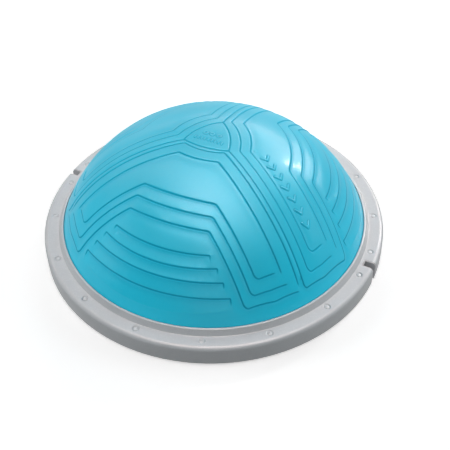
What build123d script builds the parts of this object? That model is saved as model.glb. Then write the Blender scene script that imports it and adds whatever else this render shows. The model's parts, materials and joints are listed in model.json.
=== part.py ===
from build123d import *

import os
from math import asin, cos, radians, sin, sqrt

# Balance dome trainer: an air-filled half ball clamped to a rigid round platform.
# Millimetres, +Z up, origin on the floor at the centre of the base. The two band slots
# lie on the X axis. In every name, R is a radius about Z and Z is a height.

# ------------------------------------------------------------------ shared dimensions
GAP = 0.1  # play between neighbouring pieces
OVERLAP = 0.5  # how far features run into each other so that they fuse
Z_CUT, CUT_HEIGHT = -1.0, 60.0  # start and height of cuts through the full depth

# clamp ring and platform
R_OUT = 300.0  # outside of the clamp ring
Z_BASE = 3.0  # underside of the platform
Z_SKIRT = Z_BASE + 0.4  # lower edge of the platform's outer wall
Z_TOP = 39.1  # flat top face of the ring
Z_UNDER = 36.5  # underside of the ring's top wall
RING_WALL = 3.0
RING_FILLET = 7.5  # outer top edge of the ring
R_ROUND, Z_ROUND = R_OUT - RING_FILLET, Z_TOP - RING_FILLET  # centre of that rounding
ARC_INSET = 1 - sin(radians(45))  # corner to middle of a rounding, per unit of radius
ROUND_INSET = RING_FILLET * ARC_INSET

# bladder flange
Z_FLANGE = 32.0  # underside of the flange and of the floor sheet
Z_PLAT_TOP = Z_FLANGE - GAP

# screws: seven round each half, and one either side of each band slot
SCREW_PCR = 283.0
SCREW_STEP = 21.9
SLOT_PAIR_DEG = 5.9  # angle from the slot's axis to the screw beside it
HALF_DEG = [90.0 + SCREW_STEP * k for k in range(-3, 4)]
PAD_DEG = HALF_DEG + [a + 180.0 for a in HALF_DEG]
SCREW_DEG = sorted(
    PAD_DEG
    + [SLOT_PAIR_DEG, 360 - SLOT_PAIR_DEG, 180 - SLOT_PAIR_DEG, 180 + SLOT_PAIR_DEG]
)
SHANK_R, SCREW_TIP = 2.0, 15.0
HOLE_R = SHANK_R + 0.3  # clearance hole
Z_SEAT = 35.4  # underside of the screw heads
HEAD_R, HEAD_H = 3.3, 1.6
DISH_Z = 37.8  # floor of the dished recess over each screw
CAP_R, CAP_RISE = 3.5, 0.95
BOSS_BOTTOM = 33.7  # underside of the ring's screw bosses
Z_PAD_TOP = BOSS_BOTTOM - GAP

# band slots, feet and valve
SLOT_W, SLOT_IN = 16.0, 279.0
SLOT_CUT = 30.0  # radial length of the slot cut
FOOT_PCR, FOOT_R, FOOT_COUNT = 243.0, 13.0, 8
FOOT_STEP = 360 / FOOT_COUNT
Z_FOOT_POCKET = Z_BASE + 2.0  # roof of the pocket that takes a foot
BORE_R = 5.0


def at(radius, angle_deg):
    """A point on a circle in plan."""
    return (radius * cos(radians(angle_deg)), radius * sin(radians(angle_deg)))


SCREW_AT = [at(SCREW_PCR, a) for a in SCREW_DEG]

# ------------------------------------------------------------------ clamp ring
# A thin moulding: raised inner lip, flat top with dished recesses, rounded outer edge.
TOE = 1.5  # rounding at the foot of the outer wall
R_FLAT_IN = 274.4  # inner edge of the flat top
LIP_R, LIP_Z = 268.2, 48.6  # outer corner of the lip
LIP_IN_R, LIP_IN_Z = 265.0, 48.9  # inner corner of the lip
Z_PINCH = 35.2  # face that pinches the bladder flange
PINCH_IN, PINCH_OUT = 269.4, 271.6
BOSS_R = 6.0
DISH_FLOOR_R, DISH_CUT_R = 4.6, 6.65  # bottom and top of the conical cut
DISH_CUT_TOP = Z_TOP + 0.2

with BuildPart() as clamp_ring:
    with BuildSketch(Plane.XZ):
        with BuildLine():
            inner_inset = (RING_FILLET - RING_WALL) * ARC_INSET
            r_wall_in = R_OUT - RING_WALL
            Line((r_wall_in, Z_SKIRT), (R_OUT - TOE, Z_BASE))
            ThreePointArc(
                (R_OUT - TOE, Z_BASE),
                (R_OUT - 0.44, Z_BASE + 0.44),
                (R_OUT, Z_BASE + TOE),
            )
            Line((R_OUT, Z_BASE + TOE), (R_OUT, Z_ROUND))
            ThreePointArc(
                (R_OUT, Z_ROUND),
                (R_OUT - ROUND_INSET, Z_TOP - ROUND_INSET),
                (R_ROUND, Z_TOP),
            )
            Line((R_ROUND, Z_TOP), (R_FLAT_IN + 0.6, Z_TOP))
            ThreePointArc(
                (R_FLAT_IN + 0.6, Z_TOP),
                (R_FLAT_IN - 0.1, Z_TOP + 0.3),
                (R_FLAT_IN - 0.5, Z_TOP + 0.9),
            )
            Line((R_FLAT_IN - 0.5, Z_TOP + 0.9), (LIP_R + 0.5, LIP_Z - 0.35))
            ThreePointArc(
                (LIP_R + 0.5, LIP_Z - 0.35),
                (LIP_R - 0.45, LIP_Z + 0.35),
                (LIP_IN_R, LIP_IN_Z),
            )
            Polyline(
                (LIP_IN_R, LIP_IN_Z),
                (PINCH_IN, Z_PINCH),
                (PINCH_OUT, Z_PINCH),
                (PINCH_OUT, Z_UNDER),
                (R_ROUND, Z_UNDER),
            )
            ThreePointArc(
                (R_ROUND, Z_UNDER),
                (r_wall_in - inner_inset, Z_UNDER - inner_inset),
                (r_wall_in, Z_ROUND),
            )
            Line((r_wall_in, Z_ROUND), (r_wall_in, Z_SKIRT))
        make_face()
    revolve(axis=Axis.Z)
    # screw bosses under the top wall
    with BuildSketch(Plane.XY.offset(BOSS_BOTTOM)):
        with Locations(*SCREW_AT):
            Circle(BOSS_R)
    extrude(amount=Z_UNDER + 0.6 - BOSS_BOTTOM)
    # dished recess, cap bore and screw hole at every screw
    with Locations(*[(x, y, (DISH_Z + DISH_CUT_TOP) / 2) for x, y in SCREW_AT]):
        Cone(DISH_FLOOR_R, DISH_CUT_R, DISH_CUT_TOP - DISH_Z, mode=Mode.SUBTRACT)
    with BuildSketch(Plane.XY.offset(Z_SEAT)):
        with Locations(*SCREW_AT):
            Circle(CAP_R + GAP)
    extrude(amount=DISH_Z - Z_SEAT + 0.5, mode=Mode.SUBTRACT)
    with BuildSketch(Plane.XY.offset(BOSS_BOTTOM - 1)):
        with Locations(*SCREW_AT):
            Circle(HOLE_R)
    extrude(amount=Z_SEAT - BOSS_BOTTOM + 2, mode=Mode.SUBTRACT)
    # band slots, open at the outside
    with BuildSketch(Plane.XY.offset(Z_CUT)):
        slot_x = SLOT_IN + SLOT_CUT / 2
        with Locations((slot_x, 0), (-slot_x, 0)):
            Rectangle(SLOT_CUT, SLOT_W)
    extrude(amount=CUT_HEIGHT, mode=Mode.SUBTRACT)

# ------------------------------------------------------------------ bladder
DOME_A, DOME_B, DOME_Z0 = 282.8, 266.5, -46.9  # ellipse half-axes and centre height
DOME_STEPS = 16
SKIN = 3.0
Z_FLANGE_TOP = Z_FLANGE + 3.0
BEAD_IN, BEAD_OUT, BEAD_TOP = 272.0, 276.0, 36.4
SHEET_T = 2.0


def dome_r(z, inset):
    """Radius at a height of the dome ellipse drawn in by inset."""
    a, b = DOME_A - inset, DOME_B - inset
    return a * sqrt(1 - ((z - DOME_Z0) / b) ** 2)


def dome_points(z, inset=0.0):
    """Points along the dome ellipse from a height up to its crown."""
    a, b = DOME_A - inset, DOME_B - inset
    start = asin((z - DOME_Z0) / b)
    angles = [start + (radians(90) - start) * i / DOME_STEPS for i in range(DOME_STEPS)]
    return [(a * cos(t), DOME_Z0 + b * sin(t)) for t in angles] + [(0, DOME_Z0 + b)]


# domed skin with a bead round its flange
with BuildPart() as dome_skin:
    with BuildSketch(Plane.XZ):
        with BuildLine():
            outer = dome_points(Z_FLANGE_TOP)
            inner = dome_points(Z_FLANGE, SKIN)
            Spline(outer)
            Line(outer[-1], inner[-1])
            Spline(inner)
            Line(inner[0], (BEAD_OUT - 1, Z_FLANGE))
            ThreePointArc(
                (BEAD_OUT - 1, Z_FLANGE),
                (BEAD_OUT - 0.29, Z_FLANGE + 0.29),
                (BEAD_OUT, Z_FLANGE + 1),
            )
            Line((BEAD_OUT, Z_FLANGE + 1), (BEAD_OUT, BEAD_TOP - 1.5))
            ThreePointArc(
                (BEAD_OUT, BEAD_TOP - 1.5),
                ((BEAD_OUT + BEAD_IN) / 2 + 0.2, BEAD_TOP),
                (BEAD_IN, Z_FLANGE_TOP),
            )
            Line((BEAD_IN, Z_FLANGE_TOP), outer[0])
        make_face()
    revolve(axis=Axis.Z)

# floor sheet across the skin, with an air hole at its centre
with BuildPart() as bladder_floor:
    with BuildSketch(Plane.XY.offset(Z_FLANGE)):
        Circle(dome_r(Z_FLANGE + SHEET_T, SKIN) - 0.15)
        Circle(BORE_R, mode=Mode.SUBTRACT)
    extrude(amount=SHEET_T)

# ------------------------------------------------------------------ platform
# A ribbed dish under the bladder floor, with a downward-open channel round its edge.
Z_DISH = Z_BASE + 3.0  # floor of the dish
Z_RIB = Z_DISH - OVERLAP  # ribs and foot seats start inside the plate
Z_SHELF = 29.0  # roof of the edge channel
Z_HANG = Z_SHELF + OVERLAP  # channel features end inside the shelf
R_WELL, R_WELL_OUT, Z_WELL = 24.0, 26.5, 28.0  # wall round the central well, and its top
R_DISH_WALL = 262.0
R_CHANNEL_IN, R_CHANNEL_OUT, R_PLAT = 265.0, 293.5, 296.5
CHANNEL_MID = (R_CHANNEL_IN + R_CHANNEL_OUT) / 2
SPOKE_IN, SPOKE_OUT, SPOKE_COUNT = R_WELL_OUT - 1.0, R_DISH_WALL + OVERLAP, 12
RIB_T = 2.4
RIB_RADII = (205.0, 150.0, 95.0)  # outermost first: each inner disc cut clears the next
PAD_R = 5.6
CHANNEL_BOSS_R, Z_CHANNEL_BOSS = 5.0, 12.0
WEB_T, Z_WEB = 2.2, 10.0
# webs at every screw off the Y axis, and midway between some of them
WEB_DEG = [a for a in SCREW_DEG if abs(a % 180 - 90) > 1] + [
    90.0 + SCREW_STEP * k + turn for k in (-2.5, -1.5, 1.5, 2.5) for turn in (0, 180)
]
POCKET_X, POCKET_L, POCKET_W = 286.0, 20.6, 21.6
GROOVE_RADII = [44.0 + 12.0 * k for k in range(15)]
GROOVE_W, GROOVE_DEPTH = 1.6, 0.7

with BuildPart() as base_platform:
    with BuildSketch(Plane.XZ):
        with BuildLine():
            Polyline(
                (R_WELL, Z_BASE),
                (R_CHANNEL_IN, Z_BASE),
                (R_CHANNEL_IN, Z_SHELF),
                (R_CHANNEL_OUT, Z_SHELF),
                (R_CHANNEL_OUT, Z_SKIRT),
                (R_PLAT, Z_SKIRT),
                (R_PLAT, Z_PLAT_TOP),
                (R_DISH_WALL, Z_PLAT_TOP),
                (R_DISH_WALL, Z_DISH),
                (R_WELL_OUT, Z_DISH),
                (R_WELL_OUT, Z_WELL),
                (R_WELL, Z_WELL),
                close=True,
            )
        make_face()
    revolve(axis=Axis.Z)
    # spokes, then ring ribs, under the floor sheet
    with BuildSketch(Plane.XY.offset(Z_RIB)):
        with PolarLocations((SPOKE_IN + SPOKE_OUT) / 2, SPOKE_COUNT):
            Rectangle(SPOKE_OUT - SPOKE_IN, RIB_T)
    extrude(amount=Z_PLAT_TOP - Z_RIB)
    with BuildSketch(Plane.XY.offset(Z_RIB)):
        for rib_r in RIB_RADII:
            Circle(rib_r + RIB_T / 2)
            Circle(rib_r - RIB_T / 2, mode=Mode.SUBTRACT)
    extrude(amount=Z_PLAT_TOP - Z_RIB)
    # pads under the ring's bosses, except beside the slots
    with BuildSketch(Plane.XY.offset(Z_PLAT_TOP - OVERLAP)):
        with Locations(*[at(SCREW_PCR, a) for a in PAD_DEG]):
            Circle(PAD_R)
    extrude(amount=Z_PAD_TOP - (Z_PLAT_TOP - OVERLAP))
    # screw bosses and webs hanging in the edge channel
    with BuildSketch(Plane.XY.offset(Z_CHANNEL_BOSS)):
        with Locations(*SCREW_AT):
            Circle(CHANNEL_BOSS_R)
    extrude(amount=Z_HANG - Z_CHANNEL_BOSS)
    with BuildSketch(Plane.XY.offset(Z_WEB)):
        with Locations(*[Location((*at(CHANNEL_MID, a), 0), (0, 0, a)) for a in WEB_DEG]):
            Rectangle(R_CHANNEL_OUT - R_CHANNEL_IN + 2 * OVERLAP, WEB_T)
    extrude(amount=Z_HANG - Z_WEB)
    # block round each band slot, then the slot through it
    with BuildSketch(Plane.XY.offset(Z_SKIRT)):
        with Locations((POCKET_X, 0), (-POCKET_X, 0)):
            Rectangle(POCKET_L, POCKET_W)
    extrude(amount=Z_HANG - Z_SKIRT)
    with BuildSketch(Plane.XY.offset(Z_CUT)):
        slot_x = SLOT_IN - GAP + SLOT_CUT / 2
        with Locations((slot_x, 0), (-slot_x, 0)):
            Rectangle(SLOT_CUT, SLOT_W + 2 * GAP)
    extrude(amount=CUT_HEIGHT, mode=Mode.SUBTRACT)
    # pilot holes
    with BuildSketch(Plane.XY.offset(SCREW_TIP - 1)):
        with Locations(*SCREW_AT):
            Circle(SHANK_R + 0.05)
    extrude(amount=30, mode=Mode.SUBTRACT)
    # foot seats: a thickened disc inside, a shallow pocket below
    with BuildSketch(Plane.XY.offset(Z_RIB)):
        with PolarLocations(FOOT_PCR, FOOT_COUNT, start_angle=FOOT_STEP / 2):
            Circle(FOOT_R + 3.0)
    extrude(amount=3.0)
    with BuildSketch(Plane.XY.offset(Z_BASE - 1)):
        with PolarLocations(FOOT_PCR, FOOT_COUNT, start_angle=FOOT_STEP / 2):
            Circle(FOOT_R + 0.2)
    extrude(amount=Z_FOOT_POCKET - (Z_BASE - 1), mode=Mode.SUBTRACT)
    # circular grooves in the underside
    with BuildSketch(Plane.XZ):
        with Locations(*[(groove_r, Z_BASE) for groove_r in GROOVE_RADII]):
            Rectangle(GROOVE_W, 2 * GROOVE_DEPTH)
    revolve(axis=Axis.Z, mode=Mode.SUBTRACT)

# ------------------------------------------------------------------ screws and caps
HEX_R, HEX_DEPTH = 1.5, 1.1
Z_HEAD_TOP = Z_SEAT + HEAD_H

with BuildPart() as one_screw:
    with BuildSketch(Plane.XY.offset(SCREW_TIP)):
        Circle(SHANK_R)
    extrude(amount=Z_SEAT - SCREW_TIP)
    with BuildSketch(Plane.XY.offset(Z_SEAT)):
        Circle(HEAD_R)
    extrude(amount=HEAD_H)
    chamfer(one_screw.edges().group_by(Axis.Z)[0], 0.9)
    fillet(one_screw.edges().group_by(Axis.Z)[-1], 0.6)
    with BuildSketch(Plane.XY.offset(Z_HEAD_TOP)):
        RegularPolygon(HEX_R, 6)
    extrude(amount=-HEX_DEPTH, mode=Mode.SUBTRACT)

with BuildPart() as ring_screws:
    with Locations(*SCREW_AT):
        add(one_screw.part)

# a plug over the screw head, its crown part of a sphere centred on the cap's axis
with BuildPart() as one_cap:
    with BuildSketch(Plane.XZ):
        with BuildLine():
            cap_bottom = Z_HEAD_TOP + 0.05
            cap_rim = DISH_Z + 0.35
            cap_top = cap_rim + CAP_RISE
            crown_r = (CAP_R**2 + CAP_RISE**2) / (2 * CAP_RISE)
            mid_angle = asin(CAP_R / crown_r) / 2
            Polyline((0, cap_bottom), (CAP_R, cap_bottom), (CAP_R, cap_rim))
            ThreePointArc(
                (CAP_R, cap_rim),
                (crown_r * sin(mid_angle), cap_top - crown_r * (1 - cos(mid_angle))),
                (0, cap_top),
            )
            Line((0, cap_top), (0, cap_bottom))
        make_face()
    revolve(axis=Axis.Z)

with BuildPart() as screw_caps:
    with Locations(*SCREW_AT):
        add(one_cap.part)

# ------------------------------------------------------------------ band anchors
# "Right" is the +X end; the left pieces are the right ones turned half round about Z.
LINER_T, LINER_FIT = 2.0, 0.2
LINER_L, LINER_H = 24.0, 40.0  # before trimming to the ring's outline
LINER_W = SLOT_W - 2 * LINER_FIT
TRIM = 0.3  # how far the liner stays inside the ring's outer face
TRIM_IN = 200.0  # inner radius of the trimming solid
EAR_X, EAR_Y = 281.9, 21.4
EAR_L, EAR_W, EAR_CORNER = 11.0, 29.0, 2.5
PIN_R, PIN_X, PIN_Z = 3.0, 289.0, 12.0
PIN_L = SLOT_W - 0.6


def half_turn(source):
    """A copy of a piece turned 180 degrees about Z."""
    with BuildPart() as turned:
        with Locations(Location((0, 0, 0), (0, 0, 180))):
            add(source.part)
    return turned


# U-shaped liner in the slot, with an ear under the ring at each side
with BuildPart() as band_bracket_right:
    with BuildSketch(Plane.XY.offset(Z_BASE + 0.6)):
        liner_x = SLOT_IN + LINER_FIT + LINER_L / 2
        with Locations((liner_x, 0)):
            Rectangle(LINER_L, LINER_W)
        with Locations((liner_x + LINER_T, 0)):
            Rectangle(LINER_L, LINER_W - 2 * LINER_T, mode=Mode.SUBTRACT)
    extrude(amount=LINER_H)
    # trim to the ring's outer shape
    with BuildSketch(Plane.XZ):
        with BuildLine():
            r_trim, z_trim = R_OUT - TRIM, Z_TOP - TRIM
            Polyline((TRIM_IN, Z_BASE), (r_trim, Z_BASE), (r_trim, Z_ROUND))
            ThreePointArc(
                (r_trim, Z_ROUND),
                (r_trim - ROUND_INSET, z_trim - ROUND_INSET),
                (r_trim - RING_FILLET, z_trim),
            )
            Polyline((r_trim - RING_FILLET, z_trim), (TRIM_IN, z_trim), (TRIM_IN, Z_BASE))
        make_face()
    revolve(axis=Axis.Z, mode=Mode.INTERSECT)
    # ears, each with a screw hole
    with BuildSketch(Plane.XY.offset(Z_FLANGE)):
        with Locations((EAR_X, EAR_Y), (EAR_X, -EAR_Y)):
            RectangleRounded(EAR_L, EAR_W, EAR_CORNER)
    extrude(amount=Z_PAD_TOP - Z_FLANGE)
    with BuildSketch(Plane.XY.offset(Z_FLANGE - 1)):
        with Locations(at(SCREW_PCR, SLOT_PAIR_DEG), at(SCREW_PCR, -SLOT_PAIR_DEG)):
            Circle(HOLE_R)
    extrude(amount=5, mode=Mode.SUBTRACT)
    # pin holes, cut through both side walls
    with BuildSketch(Plane.XZ.offset(-20)):
        with Locations((PIN_X, PIN_Z)):
            Circle(PIN_R + 0.03)
    extrude(amount=40, mode=Mode.SUBTRACT)

band_bracket_left = half_turn(band_bracket_right)

# pin across the slot
with BuildPart() as band_pin_right:
    with BuildSketch(Plane.XZ.offset(-PIN_L / 2)):
        with Locations((PIN_X, PIN_Z)):
            Circle(PIN_R)
    extrude(amount=PIN_L)
    chamfer(band_pin_right.edges().filter_by(GeomType.CIRCLE), 0.4)

band_pin_left = half_turn(band_pin_right)

# ------------------------------------------------------------------ foot pads
TREAD_OUT, TREAD_IN, TREAD_DEPTH = 8.0, 6.6, 0.8  # ring groove in the tread


def make_foot(centre):
    """A round pad, rounded at the floor and grooved underneath."""
    with BuildPart() as foot:
        with BuildSketch(Plane.XY):
            with Locations(centre):
                Circle(FOOT_R)
        extrude(amount=Z_FOOT_POCKET - GAP)
        fillet(foot.edges().group_by(Axis.Z)[0], 1.2)
        with BuildSketch(Plane.XY):
            with Locations(centre):
                Circle(TREAD_OUT)
                Circle(TREAD_IN, mode=Mode.SUBTRACT)
        extrude(amount=TREAD_DEPTH, mode=Mode.SUBTRACT)
    return foot


# ------------------------------------------------------------------ inflation valve
SEAT_FLANGE_R, Z_SEAT_FLANGE = 20.0, 30.0
SEAT_R, Z_SEAT_END = 8.5, 12.0  # tube hanging below the flange
STEM_R, NECK_R = 4.95, 4.4
PLUG_HEAD_R = 9.0
TAB_W, TAB_H, TAB_T, TAB_Z = 12.0, 5.0, 2.8, 6.6
TAB_HOLE_L, TAB_HOLE_H, TAB_HOLE_Z = 6.0, 2.0, 6.2

# half section of the plug: radius, height
PLUG_SECTION = [
    (0, 8.2), (8.2, 8.2), (PLUG_HEAD_R, 9.0), (PLUG_HEAD_R, 11.1), (8.2, 11.9),
    (STEM_R, 11.9), (STEM_R, 15.0), (NECK_R, 15.6), (NECK_R, 16.6),
    (STEM_R, 17.2), (STEM_R, 20.0), (NECK_R, 20.6), (NECK_R, 21.6),
    (STEM_R, 22.2), (STEM_R, 25.5), (3.2, 29.0), (0, 29.0),
]

with BuildPart() as valve_seat:
    with BuildSketch(Plane.XY.offset(Z_SEAT_FLANGE)):
        Circle(SEAT_FLANGE_R)
    extrude(amount=Z_FLANGE - 0.05 - Z_SEAT_FLANGE)
    with BuildSketch(Plane.XY.offset(Z_SEAT_END)):
        Circle(SEAT_R)
    extrude(amount=Z_SEAT_FLANGE + OVERLAP - Z_SEAT_END)
    # round the corner where the tube meets the flange
    flange_circles = valve_seat.edges().filter_by(GeomType.CIRCLE).group_by(Axis.Z)[1]
    fillet(flange_circles.sort_by(SortBy.RADIUS)[0:1], 1.5)
    with BuildSketch(Plane.XY.offset(5.0)):
        Circle(BORE_R)
    extrude(amount=40, mode=Mode.SUBTRACT)

with BuildPart() as valve_plug:
    with BuildSketch(Plane.XZ):
        with BuildLine():
            Polyline(*PLUG_SECTION, close=True)
        make_face()
    revolve(axis=Axis.Z)
    # finger tab with a hole
    with BuildSketch(Plane.XZ.offset(-TAB_T / 2)):
        with Locations((0, TAB_Z)):
            RectangleRounded(TAB_W, TAB_H, 1.5)
        with Locations((0, TAB_HOLE_Z)):
            SlotOverall(TAB_HOLE_L, TAB_HOLE_H, mode=Mode.SUBTRACT)
    extrude(amount=TAB_T)

# ------------------------------------------------------------------ one STEP per piece
pieces = {
    "clamp_ring": clamp_ring,
    "dome_skin": dome_skin,
    "bladder_floor": bladder_floor,
    "base_platform": base_platform,
    "ring_screws": ring_screws,
    "screw_caps": screw_caps,
    "band_bracket_right": band_bracket_right,
    "band_bracket_left": band_bracket_left,
    "band_pin_right": band_pin_right,
    "band_pin_left": band_pin_left,
    "valve_seat": valve_seat,
    "valve_plug": valve_plug,
}
for i in range(FOOT_COUNT):
    pieces[f"foot_pad_{i + 1}"] = make_foot(at(FOOT_PCR, FOOT_STEP * (i + 0.5)))

os.makedirs("parts", exist_ok=True)
for name, piece in pieces.items():
    piece.part.label = name
    export_step(piece.part, f"parts/{name}.step")
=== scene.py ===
"""Looks of the balance dome trainer: a blue air-filled half ball with moulded grip relief, held by a light grey
screwed ring on a dark platform. The dome's axis is Z and the floor lies at z = 0. Everything is in the row frame,
in metres; the dome's sizes are in millimetres, and angles about Z are in degrees from +X."""

import json
import math
from collections import namedtuple

import bpy
import numpy as np
from mathutils import Matrix, Vector
from mathutils.geometry import delaunay_2d_cdt


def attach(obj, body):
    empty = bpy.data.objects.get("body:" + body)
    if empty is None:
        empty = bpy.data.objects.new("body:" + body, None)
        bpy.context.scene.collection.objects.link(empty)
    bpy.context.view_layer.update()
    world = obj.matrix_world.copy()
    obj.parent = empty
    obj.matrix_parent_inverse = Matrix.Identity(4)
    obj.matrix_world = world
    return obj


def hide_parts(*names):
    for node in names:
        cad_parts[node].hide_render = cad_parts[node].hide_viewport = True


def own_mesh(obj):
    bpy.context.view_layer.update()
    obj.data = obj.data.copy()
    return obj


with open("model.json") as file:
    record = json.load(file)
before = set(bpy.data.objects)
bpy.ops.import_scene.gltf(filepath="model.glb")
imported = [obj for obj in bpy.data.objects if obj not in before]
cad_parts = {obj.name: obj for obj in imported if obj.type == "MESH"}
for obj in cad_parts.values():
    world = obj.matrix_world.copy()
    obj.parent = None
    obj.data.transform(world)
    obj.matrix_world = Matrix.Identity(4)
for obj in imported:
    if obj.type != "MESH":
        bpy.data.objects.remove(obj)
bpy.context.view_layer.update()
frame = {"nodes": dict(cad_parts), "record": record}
MM = 0.001


# =============================================================================================
# dome profile: a half ellipse turned about Z
# =============================================================================================
DOME_RADIUS = 282.8  # half axis in plan
DOME_RISE = 266.5  # half axis in height
DOME_BASE_Z = -46.9  # height of the ellipse's centre
EDGE_RADIUS = 268.9  # plan radius where the cover turns into its flange


def dome_height(r):
    return DOME_BASE_Z + DOME_RISE * np.sqrt(1 - (r / DOME_RADIUS) ** 2)


PROFILE_R = np.linspace(0, 275, 5501)
PROFILE_LENGTH = np.concatenate(
    [[0], np.cumsum(np.hypot(np.diff(PROFILE_R), np.diff(dome_height(PROFILE_R))))]
)


def surface_length(r):
    """Length along the surface from the crown out to plan radius r."""
    return np.interp(r, PROFILE_R, PROFILE_LENGTH)


def unroll(p):
    """Plan to the flattened plane, where the distance from the crown is the surface length."""
    r = np.hypot(p[:, 0], p[:, 1])
    return p * np.where(r > 1e-9, surface_length(r) / np.maximum(r, 1e-9), 1.0)[:, None]


def reroll(q):
    """Back from the flattened plane to plan."""
    length = np.hypot(q[:, 0], q[:, 1])
    r = np.interp(length, PROFILE_LENGTH, PROFILE_R)
    return q * np.where(length > 1e-9, r / np.maximum(length, 1e-9), 1.0)[:, None]


# =============================================================================================
# plan geometry
# =============================================================================================
COS60, SIN60 = 0.5, math.sqrt(3) / 2


def smooth01(x):
    x = np.clip(x, 0.0, 1.0)
    return x * x * (3 - 2 * x)


def turned(p, degrees):
    """Points turned about the crown, anticlockwise."""
    c, s = math.cos(math.radians(degrees)), math.sin(math.radians(degrees))
    p = np.asarray(p, float)
    return np.stack([p[..., 0] * c - p[..., 1] * s, p[..., 0] * s + p[..., 1] * c], -1)


def arm(side, along, offset):
    """A point on one of the two arms that bound a sector, in the sector's own axes: side is -1
    for the clockwise arm and 1 for the other, and offset runs from the arm into the sector."""
    return np.array(
        [along * COS60 + offset * SIN60, side * (along * SIN60 - offset * COS60)]
    )


def sweep(centre, p, q):
    """Angles of p and q about a centre, taken the short way round."""
    start, end = math.atan2(*(p - centre)[::-1]), math.atan2(*(q - centre)[::-1])
    while end - start > math.pi:
        end -= 2 * math.pi
    while end - start < -math.pi:
        end += 2 * math.pi
    return start, end


def on_circle(centre, radius, angles):
    return [centre + radius * np.array([math.cos(a), math.sin(a)]) for a in angles]


def bulge(p, q, middle, count):
    """Points strictly between p and q on an arc that peaks at x = middle."""
    centre = (p + q) / 2
    half = np.linalg.norm(q - p) / 2
    out = np.array([q[1] - p[1], -(q[0] - p[0])]) / (2 * half)
    if out[0] < 0:
        out = -out
    sag = (middle - centre[0]) / out[0]
    radius = (half**2 + sag**2) / (2 * sag)
    centre = centre + out * (sag - radius)
    start, end = sweep(centre, p, q)
    return on_circle(centre, abs(radius), np.linspace(start, end, count + 2)[1:-1])


def rounded(points, radii, step=0.8):
    """A dense run of points through the corners, each corner rounded with its own radius."""
    pts = [np.asarray(p, float) for p in points]
    run = [pts[0]]
    for before, corner, after, radius in zip(pts, pts[1:], pts[2:], radii[1:]):
        len_in, len_out = np.linalg.norm(before - corner), np.linalg.norm(after - corner)
        u, v = (before - corner) / len_in, (after - corner) / len_out
        turn = math.acos(max(-1, min(1, float(u @ v))))
        if radius <= 0 or math.pi - turn < 0.02:
            run.append(corner)
            continue
        cut = min(radius / math.tan(turn / 2), 0.48 * len_in, 0.48 * len_out)
        radius = cut * math.tan(turn / 2)
        inward = (u + v) / np.linalg.norm(u + v)
        centre = corner + inward * (radius / math.sin(turn / 2))
        start, end = sweep(centre, corner + u * cut, corner + v * cut)
        count = max(4, int(abs(end - start) / math.radians(9)))
        run += on_circle(centre, radius, np.linspace(start, end, count))
    run.append(pts[-1])
    dense = [run[0]]
    for p in run[1:]:
        base = dense[-1]
        gap = np.linalg.norm(p - base)
        if gap < 1e-6:
            continue
        count = max(1, int(math.ceil(gap / step)))
        dense += [base + (p - base) * k / count for k in range(1, count + 1)]
    return np.array(dense)


# =============================================================================================
# moulded lines: each a narrow groove with a soft hollow on the right of its run
# =============================================================================================
# path and run (length so far) are in the flattened plane; weight fades the relief at the ends
Line = namedtuple("Line", "path run weight groove hollow width")
lines = []

END_WEIGHT = 0.12  # share of the relief left at a faded end
KNEE_ROUND = 7  # corner radius where a line leaves an arm
CORNER_ROUND = 9  # the same at the outer corners of sector A
END_ROUND = 60  # the long bend across the outer end of an arm
SIDES = (-1, 1)


def moulded_line(points, radii, axis, groove, hollow, width, fade):
    """Add a line given in a sector's own axes; axis is the sector's direction."""
    path = unroll(turned(rounded(points, radii), axis))
    run = np.concatenate([[0], np.cumsum(np.hypot(*np.diff(path, axis=0).T))])
    weight = np.ones(len(path))
    if fade:
        for from_end in (run, run[-1] - run):
            ramp = END_WEIGHT + (1 - END_WEIGHT) * smooth01(from_end / fade)
            weight = np.minimum(weight, ramp)
    lines.append(Line(path, run, weight, groove, hollow, width))


def across(paths, radii, middle, count, axis, **relief):
    """A line in along one side's path, over an arc, and out along the other side's path.
    Both paths run inwards, and radii holds the corner radii of one of them."""
    low, high = paths
    arc = bulge(low[-1], high[-1], middle, count)
    corners = radii + [0] * len(arc) + radii[::-1]
    moulded_line(low + arc + high[::-1], corners, axis, **relief)


# how far each arm's lines sit off its axis, anticlockwise positive
ARM_SHIFT = {210: -0.6, 330: 4.2, 90: 0.0}
CROWN_REACH = 45.0  # the crown field's corners, along the arms
CROWN_SHIFT = 0.8  # share of the shift at those corners


def arm_shifts(axis):
    """Shift of the clockwise and the anticlockwise arm's lines into the sector."""
    return ARM_SHIFT[(axis - 60) % 360], -ARM_SHIFT[(axis + 60) % 360]


def crown():
    """A three-sided field with bulged sides, and one line down the middle of each arm."""
    for axis, middle in ((270, 29.0), (30, 30.5), (150, 30.0)):
        paths = [
            [arm(side, CROWN_REACH, shift * CROWN_SHIFT)]
            for side, shift in zip(SIDES, arm_shifts(axis))
        ]
        across(paths, [0], middle, 14, axis, groove=1.0, hollow=0.6, width=9, fade=0)
    for axis, shift in ARM_SHIFT.items():
        points = [(CROWN_REACH, shift * CROWN_SHIFT), (80.0, shift), (244.0, shift)]
        moulded_line(points, [0, END_ROUND, 0], axis, groove=1.0, hollow=0.0, width=6, fade=0)


# inner lines: offset at end and knee, distance along the arm at end and knee, arc middle,
# hollow depth and width, fade
A_INNER = (
    (9.6, 8.6, 250.0, 44.6, 37.6, 0.9, 11, 9),
    (30.9, 28.0, 231.0, 55.0, 57.0, 1.3, 14, 6),
)
# outer lines: offset, corner along, end along and offset, bend along and offset, knee along,
# arc middle, hollow width
A_OUTER = (
    (70.4, 220.0, 226.5, 34.5, 223.2, 52.0, 112.9, 127.2, 14),
    (85.2, 229.3, 242.0, 21.5, 237.2, 52.0, 125.6, 147.6, 15),
    (100.8, 233.6, 253.0, 5.4, 247.8, 50.7, 138.0, 167.9, 16),
)


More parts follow.
